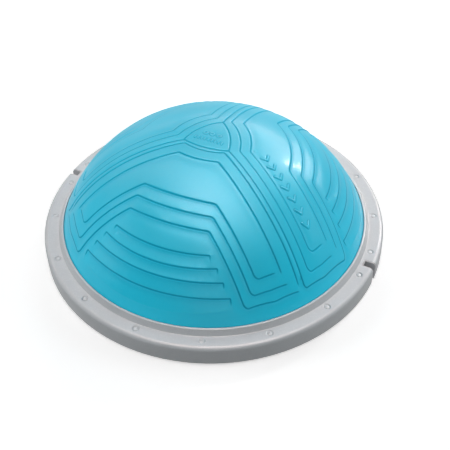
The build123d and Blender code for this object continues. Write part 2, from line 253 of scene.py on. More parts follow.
def sector_a(axis, outer, pull):
    """The sector whose panel corners sit on its outer side. outer moves the outer lines off
    the two arms, and pull brings the middle of the arcs in."""
    inner = arm_shifts(axis)
    for end_off, knee_off, end, knee, middle, hollow, width, fade in A_INNER:
        paths = [
            [arm(side, end, end_off + shift), arm(side, knee, knee_off + shift)]
            for side, shift in zip(SIDES, inner)
        ]
        across(
            paths, [0, KNEE_ROUND], middle - 0.8 * pull, 14, axis,
            groove=1.0, hollow=hollow, width=width, fade=fade,
        )
    radii = [0, END_ROUND, CORNER_ROUND, KNEE_ROUND]
    for off, corner, end, end_off, bend, bend_off, knee, middle, width in A_OUTER:
        paths = [
            [
                arm(side, end, end_off),
                arm(side, bend, bend_off),
                arm(side, corner, off + shift),
                arm(side, knee, off + shift),
            ]
            for side, shift in zip(SIDES, outer)
        ]
        across(
            paths, radii, middle - pull, 18, axis,
            groove=1.05, hollow=1.8, width=width, fade=7,
        )


# lines that turn back at the arm's end: knee along, arc middle, hollow depth and width,
# corner along, bend along and offset, end along and offset
B_MIDDLE = (53.5, 46.0, 1.0, 12, 243.0, 239.2, 48.6, 232.0, 77.0)
B_PANEL = (61.5, 64.2, 1.3, 14, 225.6, 222.6, 51.0, 219.0, 65.5)
B_PANEL_OFFSETS = (30.3, 30.3)
# outer lines: offset, end along, knee along, arc middle, hollow width
B_OUTER = (
    (70.8, 218.0, 114.0, 130.2, 14),
    (86.2, 226.0, 126.5, 149.2, 15),
    (100.8, 235.5, 138.5, 170.4, 16),
)


def sector_b(axis, offsets, outer, push):
    """A sector whose panel corners sit on its arm side. offsets are those of the line nearest
    each arm, outer moves the outer lines, and push brings the middle of the arcs out."""
    inner = arm_shifts(axis)
    radii = [0, END_ROUND, KNEE_ROUND, KNEE_ROUND]
    for offs, row in ((offsets, B_MIDDLE), (B_PANEL_OFFSETS, B_PANEL)):
        knee, middle, hollow, width, corner, bend, bend_off, end, end_off = row
        paths = [
            [
                arm(side, end, end_off),
                arm(side, bend, bend_off),
                arm(side, corner, off + shift),
                arm(side, knee, off + shift),
            ]
            for side, off, shift in zip(SIDES, offs, inner)
        ]
        across(
            paths, radii, middle + push * 0.5, 14, axis,
            groove=1.0, hollow=hollow, width=width, fade=8,
        )
    for off, end, knee, middle, width in B_OUTER:
        paths = [
            [arm(side, end, off + shift), arm(side, knee, off + shift)]
            for side, shift in zip(SIDES, outer)
        ]
        radii, fade = [0, KNEE_ROUND], 6
        if off == B_OUTER[-1][0]:  # the outermost line goes on round the ends of both arms
            tails = [
                [arm(side, 243.0, shift), arm(side, 253.6, shift), arm(side, 250.2, 47.0)]
                for side, shift in zip(SIDES, inner)
            ]
            paths = [tail + path for tail, path in zip(tails, paths)]
            radii, fade = [0, 6, END_ROUND, KNEE_ROUND, KNEE_ROUND], 0
        across(
            paths, radii, middle + push, 18, axis,
            groove=1.05, hollow=1.8, width=width, fade=fade,
        )


# grip bars by sector, from the highest: end x, end y either side of the axis, arc middle x
BARS = {
    270: ((180.8, 83.2, 197.7), (189.0, 99.2, 213.9), (197.8, 113.8, 227.0), (205.6, 129.4, 241.4)),
    30: ((181.5, 84.0, 201.7), (190.2, 100.0, 216.6), (198.6, 114.8, 231.0), (207.0, 131.2, 244.4)),
    150: ((181.2, 83.6, 200.3), (189.6, 99.6, 216.0), (198.2, 114.3, 229.6), (206.4, 130.4, 243.6)),
}
BAR_WIDTHS = (19, 20, 20, 17)
BAR_RETURN = 6.5  # length of the short return at both ends of a bar


def bars(axis, rows):
    """Four curved grip bars low on the dome, each a scooped recess."""
    for (x, y, middle), width in zip(rows, BAR_WIDTHS):
        paths = []
        for side in SIDES:
            end = np.array([x, side * y])
            paths.append([end + end / np.linalg.norm(end) * BAR_RETURN, end])
        across(paths, [0, 1.2], middle, 26, axis, groove=1.0, hollow=2.1, width=width, fade=7)
    # a faint raised crease where the lowest recess runs out
    x, y, middle = rows[-1]
    paths = [[np.array([x + 12.5, side * (y - 2)])] for side in SIDES]
    across(paths, [0], middle + 14.0, 26, axis, groove=-0.28, hollow=0, width=6, fade=14)


crown()
sector_a(270, outer=(0.7, -1.6), pull=2.0)
sector_b(30, offsets=(15.0, 11.5), outer=(4.2, 0.0), push=2.0)
sector_b(150, offsets=(15.0, 15.4), outer=(0.0, 0.0), push=0.0)
for axis, rows in BARS.items():
    bars(axis, rows)


# =============================================================================================
# raised marks: a row of chevrons beside one arm, and small rings and dashes in the crown field
# =============================================================================================
CHEVRON_FIRST, CHEVRON_PITCH, CHEVRON_COUNT = 84.0, 18.4, 7
DASH_X = (7.6, 12.2)
DASH_Y = np.arange(-24.0, 24.1, 6.0)
STUD_X, STUD_Y, STUD_RADIUS = -5.0, (-12.0, 0.0, 12.0), 3.3
MARK_AXIS = 270.0  # direction of the sector the dashes and rings are laid out in

chevrons = []
for k in range(CHEVRON_COUNT):
    along = CHEVRON_FIRST + CHEVRON_PITCH * k
    bent = [arm(-1, along - 3.6, 43.4), arm(-1, along + 3.6, 50.0), arm(-1, along - 3.6, 56.6)]
    chevrons.append(unroll(turned(bent, 30.0)))
dashes = [turned([(x, y) for x in DASH_X], MARK_AXIS) for y in DASH_Y]
studs = [turned([STUD_X, y], MARK_AXIS) for y in STUD_Y]


def segment_distance(p, a, b):
    ab = b - a
    t = np.clip(((p - a) @ ab) / (ab @ ab), 0, 1)
    return np.hypot(*(p - a - t[:, None] * ab).T)


def marks(q):
    """Height of the raised marks at points of the flattened plane, and how near each point is
    to a mark's edge."""
    raised, rim = np.zeros(len(q)), np.zeros(len(q))

    def add(near, d, height, half, rim_at, soft):
        raised[near] = np.maximum(raised[near], height * smooth01((half - d) / soft))
        rim[near] = np.maximum(rim[near], 1 - smooth01(np.abs(d - rim_at) / soft))

    for start, tip, end in chevrons:
        near = np.flatnonzero(np.hypot(*(q - tip).T) < 16)
        p = q[near]
        d = np.minimum(segment_distance(p, start, tip), segment_distance(p, tip, end))
        add(near, d, height=1.15, half=2.3, rim_at=2.4, soft=1.1)
    near = np.flatnonzero(np.hypot(*q.T) < 42)
    p = q[near]
    for a, b in dashes:
        add(near, segment_distance(p, a, b), height=0.8, half=1.9, rim_at=1.9, soft=1.0)
    for centre in studs:
        d = np.abs(np.hypot(*(p - centre).T) - STUD_RADIUS)
        add(near, d, height=0.9, half=1.9, rim_at=1.9, soft=1.0)
    return raised, rim


def mark_zone(q):
    """True where the raised marks need a fine mesh."""
    inside = np.zeros(len(q), bool)
    for chevron in chevrons:
        inside |= np.hypot(*(q - chevron.mean(0)).T) < 11.5
    x, y = turned(q, -MARK_AXIS).T
    inside |= (np.abs(x - 9.9) < 6.0) & (np.abs(y) < 28.0)
    inside |= (np.abs(x - STUD_X) < 7.0) & (np.abs(y) < 19.5)
    return inside


# =============================================================================================
# relief of the lines at any point
# =============================================================================================
GROOVE_HALF = 2.5


def nearest_on_line(q, line, reach):
    """For each point within reach: the distance to the line, the side (1 is left), the line's
    weight there, and how far the point lies beyond the line's end."""
    path, weight = line.path, line.weight
    best = np.full(len(q), 1e9)
    sign, found, beyond = np.zeros(len(q)), np.zeros(len(q)), np.zeros(len(q))
    step = 24
    for i in range(0, len(path) - 1, step):
        chunk = path[i : i + step + 1]
        lo, hi = chunk.min(0) - reach, chunk.max(0) + reach
        ids = np.flatnonzero(((q > lo) & (q < hi)).all(1))
        if not len(ids):
            continue
        a, ab = chunk[:-1], chunk[1:] - chunk[:-1]
        off = q[ids][:, None, :] - a[None]
        t = (off * ab[None]).sum(-1) / (ab * ab).sum(-1)[None]
        held = np.clip(t, 0, 1)
        off = off - held[..., None] * ab[None]
        d = np.hypot(off[..., 0], off[..., 1])
        j = d.argmin(1)
        rows = np.arange(len(ids))
        dj = d[rows, j]
        better = dj < best[ids]
        ids, j, dj, rows = ids[better], j[better], dj[better], rows[better]
        t, held = t[rows, j], held[rows, j]
        best[ids] = dj
        sign[ids] = np.sign(ab[j, 0] * off[rows, j, 1] - ab[j, 1] * off[rows, j, 0])
        following = np.minimum(i + j + 1, len(weight) - 1)
        found[ids] = weight[i + j] * (1 - held) + weight[following] * held
        past = ((i + j == 0) & (t < 0)) | ((i + j == len(path) - 2) & (t > 1))
        beyond[ids] = np.where(past, np.abs(t - held) * np.hypot(*ab[j].T), 0.0)
    return best, sign, found, beyond


def field(q):
    """Distance to the nearest line, groove depth and hollow depth at points of the plane."""
    nearest = np.full(len(q), 1e9)
    groove, hollow = np.zeros(len(q)), np.zeros(len(q))
    for line in lines:
        reach = max(line.width, 16.0)
        best, sign, weight, beyond = nearest_on_line(q, line, reach)
        nearest = np.minimum(nearest, best)
        hit = best < reach
        cut = np.zeros(len(q))
        bell = np.cos(np.clip(best[hit] / GROOVE_HALF, 0, 1) * math.pi / 2) ** 2
        cut[hit] = bell * line.groove * weight[hit]
        groove = np.where(np.abs(cut) > np.abs(groove), cut, groove)
        if line.hollow:
            sel = hit & (sign == -1) & (best > 0)
            s = best[sel]
            scoop = np.zeros(len(q))
            scoop[sel] = (
                (1 - np.exp(-((s / 3.6) ** 1.2)))  # steep fall beside the groove
                * (1 - smooth01((s - 0.30 * line.width) / (0.70 * line.width)))  # slow rise
                * line.hollow
                * weight[sel]
                * (1 - smooth01(beyond[sel] / 2.0))
            )
            hollow = np.maximum(hollow, scoop)
    return nearest, groove, hollow


# =============================================================================================
# dome mesh
# =============================================================================================
# offsets of the vertex rows that follow a line, positive on the hollow's side
ROWS = (-3.3, -2.4, -1.6, -0.8, 0.0, 0.8, 1.6, 2.4, 3.3, 4.6, 6.6, 9.2, 12.5, 16.5)
ROW_CLEAR = ROWS[8]  # the first row outside the groove
ROW_PITCH = 3.1  # spacing along a line
PATCH_PITCH = 1.0
FILL_PITCH = 5.2
FILL_CELL = FILL_PITCH / 2  # the even spread keeps a cell of this size off the rows
RIM_CIRCLES = ((EDGE_RADIUS, 720), (267.6, 720), (265.6, 540), (262.0, 420))  # radius, count
# flange under the ring, from the rim edge down and back in: radius, height
FLANGE = (
    (269.3, 35.0), (271.8, 35.0), (273.0, 36.1), (274.6, 36.3),
    (275.7, 35.2), (275.9, 32.4), (275.2, 32.05), (267.2, 32.05),
)


def staggered_grid(x_range, y_range, pitch, row_pitch):
    x, y = np.meshgrid(np.arange(*x_range, pitch), np.arange(*y_range, row_pitch))
    x = x + (np.arange(x.shape[0])[:, None] % 2) * pitch / 2
    return np.stack([x.ravel(), y.ravel()], 1)


def patch_points():
    """Fine patches for the marks."""
    boxes = [(c.min(0) - 12, c.max(0) + 12) for c in chevrons]
    boxes.append((np.array([-36.0, -36.0]), np.array([36.0, 36.0])))
    pts = np.concatenate(
        [
            staggered_grid((lo[0], hi[0]), (lo[1], hi[1]), PATCH_PITCH, PATCH_PITCH)
            for lo, hi in boxes
        ]
    )
    pts = pts[mark_zone(pts)]
    # patches overlap, so only one point is kept in each small cell
    _, first = np.unique(np.round(pts / 0.7).astype(int), axis=0, return_index=True)
    pts = pts[first]
    return pts[field(pts)[0] > ROW_CLEAR]


def stations(path, run, heading):
    """Indices along a line, closer together where it bends."""
    pick = [0]
    for i in range(1, len(path) - 1):
        gap = run[i] - run[pick[-1]]
        bend = abs(heading[i] - heading[pick[-1]])
        if gap >= ROW_PITCH or (bend > math.radians(8) and gap > 0.7):
            pick.append(i)
    if run[-1] - run[pick[-1]] < 0.6:
        pick.pop()
    pick.append(len(path) - 1)
    return np.array(pick)


def line_rows(count):
    """Rows that follow every line, and the edges along the groove rows; count is the number
    of points before them."""
    blocks, edges = [], []
    for line in lines:
        tangent = np.gradient(line.path, axis=0)
        tangent /= np.maximum(np.hypot(*tangent.T), 1e-9)[:, None]
        heading = np.unwrap(np.arctan2(tangent[:, 1], tangent[:, 0]))
        pick = stations(line.path, line.run, heading)
        base, tangent = line.path[pick], tangent[pick]
        right_side = np.stack([tangent[:, 1], -tangent[:, 0]], 1)
        for s in ROWS:
            if s > GROOVE_HALF and (not line.hollow or s > line.width):
                continue
            row = base + right_side * s
            keep = field(row)[0] > abs(s) - 0.13  # not where another line is nearer
            keep &= np.hypot(*row.T) < surface_length(EDGE_RADIUS - 1.5)
            if abs(s) > GROOVE_HALF:
                keep &= ~mark_zone(row)
            if s > 6:
                keep &= np.arange(len(row)) % 2 == 0
            ids = np.full(len(row), -1)
            ids[keep] = count + np.arange(keep.sum())
            blocks.append(row[keep])
            count += len(blocks[-1])
            if abs(s) < GROOVE_HALF:
                edges += [(int(a), int(b)) for a, b in zip(ids, ids[1:]) if a >= 0 and b >= 0]
    return np.concatenate(blocks), edges


def rim_points():
    """Circles of points just inside the rim edge, the outermost first."""
    blocks = []
    for radius, n in RIM_CIRCLES:
        a = (np.arange(n) + 0.5 * (n % 7)) * 2 * math.pi / n
        blocks.append(np.stack([np.cos(a), np.sin(a)], 1) * surface_length(radius))
    return np.concatenate(blocks)


def fill_points(used):
    """An even spread that keeps off the points already used."""
    fill = staggered_grid((-360, 360), (-360, 360), FILL_PITCH, FILL_PITCH * SIN60)
    fill = fill[np.hypot(*fill.T) < surface_length(260.5)]
    taken = set(map(tuple, np.floor(used / FILL_CELL).astype(int)))
    around = [(i, j) for i in (-1, 0, 1) for j in (-1, 0, 1)]
    cells = np.floor(fill / FILL_CELL).astype(int)
    free = [not any((cx + i, cy + j) in taken for i, j in around) for cx, cy in cells]
    return fill[np.array(free)]


def triangulated():
    """The flattened cover: its points and triangles."""
    patches = patch_points()
    rows, edges = line_rows(len(patches))
    start, n = len(patches) + len(rows), RIM_CIRCLES[0][1]
    edges += [(start + i, start + (i + 1) % n) for i in range(n)]
    used = np.concatenate([patches, rows, rim_points()])
    q = np.concatenate([used, fill_points(used)])
    out = delaunay_2d_cdt([Vector((float(x), float(y))) for x, y in q], edges, [], 0, 1e-5)
    return np.array([tuple(v) for v in out[0]]), [tuple(f) for f in out[2]]


def soften(values, tris, rounds=3):
    """Let values run softly into their neighbours."""
    pairs = np.array([(t[k], t[(k + 1) % 3]) for t in tris for k in range(3)])
    for _ in range(rounds):
        total, count = np.zeros(len(values)), np.zeros(len(values))
        for to, source in ((0, 1), (1, 0)):
            np.add.at(total, pairs[:, to], values[pairs[:, source]])
            np.add.at(count, pairs[:, to], 1)
        values = 0.5 * values + 0.5 * total / np.maximum(count, 1)
    return values


def on_dome(q, height):
    """Points of the flattened plane set on the dome and lifted along its normal."""
    plan = reroll(q)
    z = dome_height(np.hypot(*plan.T))
    normal = np.stack(
        [
            plan[:, 0] / DOME_RADIUS**2,
            plan[:, 1] / DOME_RADIUS**2,
            (z - DOME_BASE_Z) / DOME_RISE**2,
        ],
        1,
    )
    normal /= np.linalg.norm(normal, axis=1)[:, None]
    return np.stack([plan[:, 0], plan[:, 1], z], 1) + normal * height[:, None]


def facing_up(q, tris):
    """The triangles wound anticlockwise as seen from above."""
    a, b, c = (q[np.array([t[k] for t in tris[:200]])] for k in range(3))
    ab, ac = b - a, c - a
    if (ab[:, 0] * ac[:, 1] - ab[:, 1] * ac[:, 0]).mean() < 0:
        return [t[::-1] for t in tris]
    return tris


def flange(q, count):
    """Vertex rings of the flange and the quads that join them to the rim edge."""
    edge = np.flatnonzero(np.hypot(*q.T) > surface_length(EDGE_RADIUS) - 0.05)
    edge = edge[np.argsort(np.arctan2(q[edge, 1], q[edge, 0]))]
    angle = np.arctan2(q[edge, 1], q[edge, 0])
    n = len(edge)
    verts, quads, upper = [], [], edge
    for r, z in FLANGE:
        verts.append(np.stack([r * np.cos(angle), r * np.sin(angle), np.full(n, z)], 1))
        lower = np.arange(count, count + n)
        for i in range(n):
            j = (i + 1) % n
            quads.append((int(upper[i]), int(lower[i]), int(lower[j]), int(upper[j])))
        upper = lower
        count += n
    return verts, quads


def dome_cover():
    q, tris = triangulated()
    _, groove, hollow = field(q)
    hollow = soften(hollow, tris)
    raised, rim = marks(q)
    height = -groove - hollow + raised - 0.35 * rim
    # the relief dies out towards the rim
    height *= 1 - smooth01((np.hypot(*q.T) - surface_length(262.5)) / 4.0)
    rings, quads = flange(q, len(q))
    xyz = np.concatenate([on_dome(q, height)] + rings)

    me = bpy.data.meshes.new("dome_cover")
    me.from_pydata([tuple(v) for v in xyz * MM], [], facing_up(q, tris) + quads)
    me.validate(clean_customdata=False)
    me.update()
    me.polygons.foreach_set("use_smooth", [True] * len(me.polygons))
    ob = bpy.data.objects.new("dome_cover", me)
    bpy.context.scene.collection.objects.link(ob)
    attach(ob, "dome")
    # the vinyl's shader paints shade by these two: into the grooves, the dip round the raised marks and the
    # hollows
    depth = np.maximum(np.maximum(groove, 0), 0.85 * rim)
    for name, values in (("groove", depth), ("hollow", hollow)):
        whole = np.zeros(len(xyz), np.float32)
        whole[: len(q)] = values
        me.attributes.new(name, "FLOAT", "POINT").data.foreach_set("value", whole)
    return ob


dome = dome_cover()
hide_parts("dome_skin")
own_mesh(dome)


# =============================================================================================
# shader helpers
# =============================================================================================
class Tree:
    """A thin layer over a node tree."""

    def __init__(self, owner):
        owner.use_nodes = True
        self.tree = owner.node_tree
        self.tree.nodes.clear()

    def node(self, kind, **props):
        n = self.tree.nodes.new(kind)
        for key, value in props.items():
            setattr(n, key, value)
        return n

    def put(self, socket, value):
        if isinstance(value, bpy.types.NodeSocket):
            self.tree.links.new(value, socket)
        else:
            socket.default_value = value

    def span(self, value, lo, hi, to_lo=0.0, to_hi=1.0):
        """A smooth step of value from lo..hi to to_lo..to_hi."""
        n = self.node("ShaderNodeMapRange", interpolation_type="SMOOTHSTEP")
        self.put(n.inputs["Value"], value)
        ends = {"From Min": lo, "From Max": hi, "To Min": to_lo, "To Max": to_hi}
        for key, x in ends.items():
            n.inputs[key].default_value = x
        return n.outputs["Result"]


class Look(Tree):
    """A material with one principled shader."""

    def __init__(self, name):
        self.mat = bpy.data.materials.new(name)
        super().__init__(self.mat)
        out = self.node("ShaderNodeOutputMaterial")
        self.bsdf = self.node("ShaderNodeBsdfPrincipled")
        self.put(out.inputs[0], self.bsdf.outputs[0])
        self.coord = self.node("ShaderNodeTexCoord").outputs["Object"]

    def noise(self, scale, detail=3.0, rough=0.55, stretch=None):
        n = self.node("ShaderNodeTexNoise")
        n.inputs["Scale"].default_value = scale
        n.inputs["Detail"].default_value = detail
        n.inputs["Roughness"].default_value = rough
        source = self.coord
        if stretch:
            m = self.node("ShaderNodeMapping")
            m.inputs["Scale"].default_value = stretch
            self.put(m.inputs["Vector"], source)
            source = m.outputs[0]
        self.put(n.inputs["Vector"], source)
        return n.outputs["Fac"]

    def cells(self, scale, feature, randomness):
        n = self.node("ShaderNodeTexVoronoi", feature=feature)
        n.inputs["Scale"].default_value = scale
        n.inputs["Randomness"].default_value = randomness
        self.put(n.inputs["Vector"], self.coord)
        return n.outputs["Distance"]

    def math(self, operation, a, b, c=0.0):
        n = self.node("ShaderNodeMath", operation=operation)
        for socket, value in zip(n.inputs, (a, b, c)):
            self.put(socket, value)
        return n.outputs[0]

    def scaled(self, value, by, plus):
        return self.math("MULTIPLY_ADD", value, by, plus)

    def mix(self, fac, a, b):
        n = self.node("ShaderNodeMix", data_type="RGBA")
        self.put(n.inputs["Factor"], fac)
        for socket, color in ((n.inputs[6], a), (n.inputs[7], b)):
            self.put(socket, (*color, 1.0) if isinstance(color, tuple) else color)
        return n.outputs[2]

    def bump(self, height, distance, strength, normal=None):
        n = self.node("ShaderNodeBump")
        n.inputs["Distance"].default_value = distance
        n.inputs["Strength"].default_value = strength
        self.put(n.inputs["Height"], height)
        if normal is not None:
            self.put(n.inputs["Normal"], normal)
        return n.outputs[0]

    def soft_edge(self, radius):
        n = self.node("ShaderNodeBevel", samples=6)
        n.inputs["Radius"].default_value = radius
        return n.outputs[0]

    def geometry(self, output):
        return self.node("ShaderNodeNewGeometry").outputs[output]

    def normal_z(self):
        n = self.node("ShaderNodeSeparateXYZ")
        self.put(n.inputs[0], self.geometry("Normal"))
        return n.outputs["Z"]

    def rub_edges(self, base, bevel, amount, color):
        """Blend a colour in along the edges, a little wider than their bevel."""
        soft = self.soft_edge(bevel * 1.6)
        normal = self.geometry("Normal")
        dot = self.node("ShaderNodeVectorMath", operation="DOT_PRODUCT")
        self.put(dot.inputs[0], soft)
        self.put(dot.inputs[1], normal)
        turn = self.math("SUBTRACT", 1.0, dot.outputs["Value"])
        mask = self.span(turn, lo=0.01, hi=0.2)
        return self.mix(self.math("MULTIPLY", mask, amount), base, color)

    def attribute(self, name):
        return self.node("ShaderNodeAttribute", attribute_name=name).outputs["Fac"]

    def finish(self, color, rough, normal, metallic=0.0, spec=0.5, **more):
        values = {
            "Base Color": color,
            "Roughness": rough,
            "Metallic": metallic,
            "Specular IOR Level": spec,
            "Normal": normal,
        }
        values.update((key.replace("_", " "), value) for key, value in more.items())
        for key, value in values.items():
            self.put(self.bsdf.inputs[key], value)
        return self.mat


def lin(r, g, b):
    """sRGB 0-255 to linear."""
    return tuple(
        x / 12.92 if x <= 0.04045 else ((x + 0.055) / 1.055) ** 2.4
        for x in (r / 255, g / 255, b / 255)
    )


def paler(color, by):
    return lin(*[min(255, c + by) for c in color])


# =============================================================================================
# materials
# =============================================================================================
def vinyl_blue():
    """Satin vinyl: cloudy colour, fine leathery grain, and painted shade in the moulded lines and their hollows:
    darker colour and less reflection there; the lines are also duller.
    """
    n = Look("dome_vinyl_satin")
    cloud = n.noise(scale=7.0, detail=4.0, rough=0.6)
    fleck = n.noise(scale=190.0, detail=2.0, rough=0.5)
    base = n.mix(n.span(cloud, lo=0.35, hi=0.65), lin(17, 203, 237), lin(24, 208, 242))
    base = n.mix(n.span(fleck, lo=0.3, hi=0.75, to_hi=0.25), base, lin(40, 208, 238))
    groove = n.span(n.attribute("groove"), lo=0.02, hi=0.85)
    hollow = n.span(n.attribute("hollow"), lo=0.1, hi=2.1, to_hi=0.22)
    # painted shade: the hollows beside the lines are darkened towards a deeper blue
    base = n.mix(hollow, base, lin(8, 168, 206))
    # painted shade in the moulded lines and round the raised marks: darkened towards a deeper blue, more so low
    # down where the surface faces less upward
    low_groove_shade = n.span(n.normal_z(), lo=0.5, hi=0.85, to_lo=0.80, to_hi=0.46)
    base = n.mix(n.math("MULTIPLY", groove, low_groove_shade), base, lin(7, 145, 185))
    grain = n.cells(scale=620.0, feature="SMOOTH_F1", randomness=0.9)
    fine = n.noise(scale=1500.0, detail=2.0, rough=0.5)
    wave = n.noise(scale=26.0, detail=2.0, rough=0.4)
    normal = n.bump(wave, distance=0.0006, strength=0.35)
    normal = n.bump(grain, distance=0.00007, strength=0.5, normal=normal)
    normal = n.bump(fine, distance=0.00003, strength=0.4, normal=normal)
    satin = n.span(cloud, lo=0.3, hi=0.7, to_lo=0.35, to_hi=0.40)
    dull = n.math("MULTIPLY", groove, 0.15)
    return n.finish(
        base,
        n.math("ADD", satin, dull),
        normal,
        # painted shade of the reflections: less specular, sheen and coat in the grooves
        spec=n.scaled(groove, by=-0.38, plus=0.5),
        Sheen_Weight=n.scaled(groove, by=-0.05, plus=0.05),
        Sheen_Roughness=0.45,
        Sheen_Tint=(0.82, 0.95, 1.0, 1.0),
        Coat_Weight=n.scaled(groove, by=-0.13, plus=0.14),
        Coat_Roughness=0.14,
    )


def plastic_grey(
    name, dark, light, rough=0.42, edge=(232, 235, 238), edge_mix=0.35,
    grain=1.0, bevel=0.0007, coat=0.0, painted_wall_brightness=1.0,
):
    """Moulded plastic: slow colour drift, fine grain, pale rubbed edges. The last argument is a painted shade:
    the share of their colour that upright faces keep."""
    n = Look(name)
    drift = n.noise(scale=9.0, detail=3.0, rough=0.55)
    speck = n.noise(scale=420.0, detail=2.0, rough=0.6)
    base = n.mix(n.span(drift, lo=0.33, hi=0.67), lin(*dark), lin(*light))
    base = n.mix(n.span(speck, lo=0.45, hi=0.8, to_hi=0.18), base, lin(*edge))
    base = n.rub_edges(base, bevel, edge_mix, lin(*edge))
    if painted_wall_brightness < 1.0:
        # painted shade: upright faces are darkened towards black, keeping only the given share of their colour
        upright = n.span(n.normal_z(), lo=0.15, hi=0.85, to_lo=1.0 - painted_wall_brightness, to_hi=0.0)
        base = n.mix(upright, base, (0.0, 0.0, 0.0))
    scuff = n.noise(scale=60.0, detail=5.0, rough=0.7, stretch=(1.0, 1.0, 3.0))
    roughness = n.math(
        "ADD",
        n.span(scuff, lo=0.35, hi=0.7, to_lo=rough - 0.04, to_hi=rough + 0.06),
        n.span(drift, lo=0.3, hi=0.7, to_lo=-0.015, to_hi=0.015),
    )
    fine = n.noise(scale=950.0, detail=3.0, rough=0.65)
    normal = n.soft_edge(bevel)
    wave = n.noise(scale=30.0, detail=2.0, rough=0.4)
    normal = n.bump(wave, distance=0.0004, strength=0.15, normal=normal)
    normal = n.bump(fine, distance=0.00006 * grain, strength=0.5, normal=normal)
    return n.finish(base, roughness, normal, Coat_Weight=coat, Coat_Roughness=0.16)


def metal(name, dark, light, rough, bevel=0.0004, brushed=(1, 1, 1), coat=0.0, metallic=1.0):
    """Plated or painted steel with fine drawing lines and brighter edges."""
    n = Look(name)
    drawn = n.noise(scale=320.0, detail=4.0, rough=0.6, stretch=brushed)
    drift = n.noise(scale=22.0, detail=3.0, rough=0.5)
    base = n.mix(n.span(drawn, lo=0.3, hi=0.7), lin(*dark), lin(*light))
    base = n.mix(n.span(drift, lo=0.35, hi=0.7, to_hi=0.3), base, lin(*dark))
    base = n.rub_edges(base, bevel, 0.5, lin(*light))
    roughness = n.span(drawn, lo=0.25, hi=0.75, to_lo=rough - 0.07, to_hi=rough + 0.1)
    normal = n.bump(drawn, distance=0.00004, strength=0.6, normal=n.soft_edge(bevel))
    return n.finish(base, roughness, normal, metallic=metallic, Coat_Weight=coat)


def rubber(name, dark, light, bevel=0.0006):
    """Matt rubber or vinyl: pitted, dusty, paler at the edges."""
    n = Look(name)
    drift = n.noise(scale=35.0, detail=4.0, rough=0.6)
    dust = n.noise(scale=180.0, detail=5.0, rough=0.7)
    base = n.mix(n.span(drift, lo=0.3, hi=0.7), lin(*dark), lin(*light))
    base = n.mix(n.span(dust, lo=0.56, hi=0.8, to_hi=0.35), base, paler(light, by=46))
    base = n.rub_edges(base, bevel, 0.4, paler(light, by=32))
    pits = n.cells(scale=900.0, feature="F1", randomness=1.0)
    normal = n.bump(pits, distance=0.0001, strength=0.5, normal=n.soft_edge(bevel))
    wave = n.noise(scale=120.0, detail=3.0, rough=0.5)
    normal = n.bump(wave, distance=0.0002, strength=0.3, normal=normal)
    roughness = n.span(dust, lo=0.3, hi=0.7, to_lo=0.62, to_hi=0.82)
    return n.finish(base, roughness, normal, spec=0.35)


# by material slot; the two colours are the dark and light ends of the drift
MATERIALS = {
    "dome_vinyl": vinyl_blue(),
    "floor_vinyl": rubber("bladder_floor_vinyl", (30, 120, 150), (38, 138, 168)),
    # the ring's upright outer side gets painted shade, keeping 0.75 of its colour
    "ring_plastic": plastic_grey(
        "ring_plastic_satin", (189, 195, 199), (195, 201, 205), coat=0.35, painted_wall_brightness=0.75
    ),
    "platform_plastic": plastic_grey(
        "platform_plastic_grained", (66, 69, 73), (76, 79, 83),
        rough=0.5, edge=(128, 131, 135), edge_mix=0.3, grain=1.6,
    ),
    "screw_steel": metal("screw_steel_zinc", (140, 143, 148), (205, 208, 212), rough=0.3),
    "cap_plastic": plastic_grey(
        "cap_plastic_satin", (210, 213, 216), (218, 221, 224),
        rough=0.34, edge=(232, 234, 238), edge_mix=0.4, grain=0.6, bevel=0.0003,
    ),
    "bracket_steel": metal(
        "bracket_steel_coated", (176, 178, 181), (190, 192, 195),
        rough=0.5, bevel=0.0005, coat=0.1, metallic=0.1,
    ),
    "pin_steel": metal(
        "pin_steel_drawn", (120, 124, 130), (196, 200, 206), rough=0.28, brushed=(6, 1, 6)
    ),
    "foot_rubber": rubber("foot_rubber_black", (26, 27, 29), (36, 37, 40)),
    "valve_vinyl": rubber("valve_vinyl_blue", (28, 118, 150), (40, 140, 172)),
    "plug_rubber": rubber("plug_rubber_black", (30, 31, 34), (44, 45, 49)),
}
slots = {s["node"]: s["material_slot"] for s in frame["record"]["subparts"]}
for name, ob in frame["nodes"].items():
    ob.data.materials.clear()
    ob.data.materials.append(MATERIALS[slots[name]])
dome.data.materials.append(MATERIALS["dome_vinyl"])


# =============================================================================================
# floor
# =============================================================================================
FLOOR_HALF = 9.0
FLOOR_Y = (-6.0, 11.0)
FLOOR_COLUMNS, FLOOR_ROWS = 25, 96
SWEEP_START, SWEEP_RUN, SWEEP_RISE = 6.0, 5.0, 3.2
FLOOR_DROP = 0.0002  # keeps the floor just under the feet
FLOOR_SHEEN = 0.45  # how bright the floor is in reflections


def floor_paper():
    """White paper to the camera, dim grey as a bounce for the other rays."""
    n = Look("studio_floor_paper")
    tone = n.noise(scale=3.0, detail=3.0, rough=0.5)
    color = n.mix(n.span(tone, lo=0.3, hi=0.7), (0.93, 0.93, 0.93), (0.95, 0.95, 0.95))
    rays = n.node("ShaderNodeLightPath")
    seen = rays.outputs["Is Camera Ray"]
    color = n.mix(seen, (0.24, 0.24, 0.243), color)
    fine = n.noise(scale=900.0, detail=2.0, rough=0.5)
    n.finish(color, 0.9, n.bump(fine, distance=0.00003, strength=0.2), spec=0.0)
    n.put(n.bsdf.inputs["Emission Color"], (1, 1, 1, 1))
    away = n.node("ShaderNodeVectorMath", operation="LENGTH")
    n.put(away.inputs[0], n.geometry("Position"))
    lift = n.span(away.outputs["Value"], lo=0.9, hi=3.0, to_lo=0.42, to_hi=1.0)
    mirror = n.math("MULTIPLY", rays.outputs["Is Glossy Ray"], FLOOR_SHEEN)
    mirror.node.name = "floor_sheen"
    glow = n.math("ADD", n.math("MULTIPLY", seen, lift), mirror)
    n.put(n.bsdf.inputs["Emission Strength"], glow)
    return n.mat


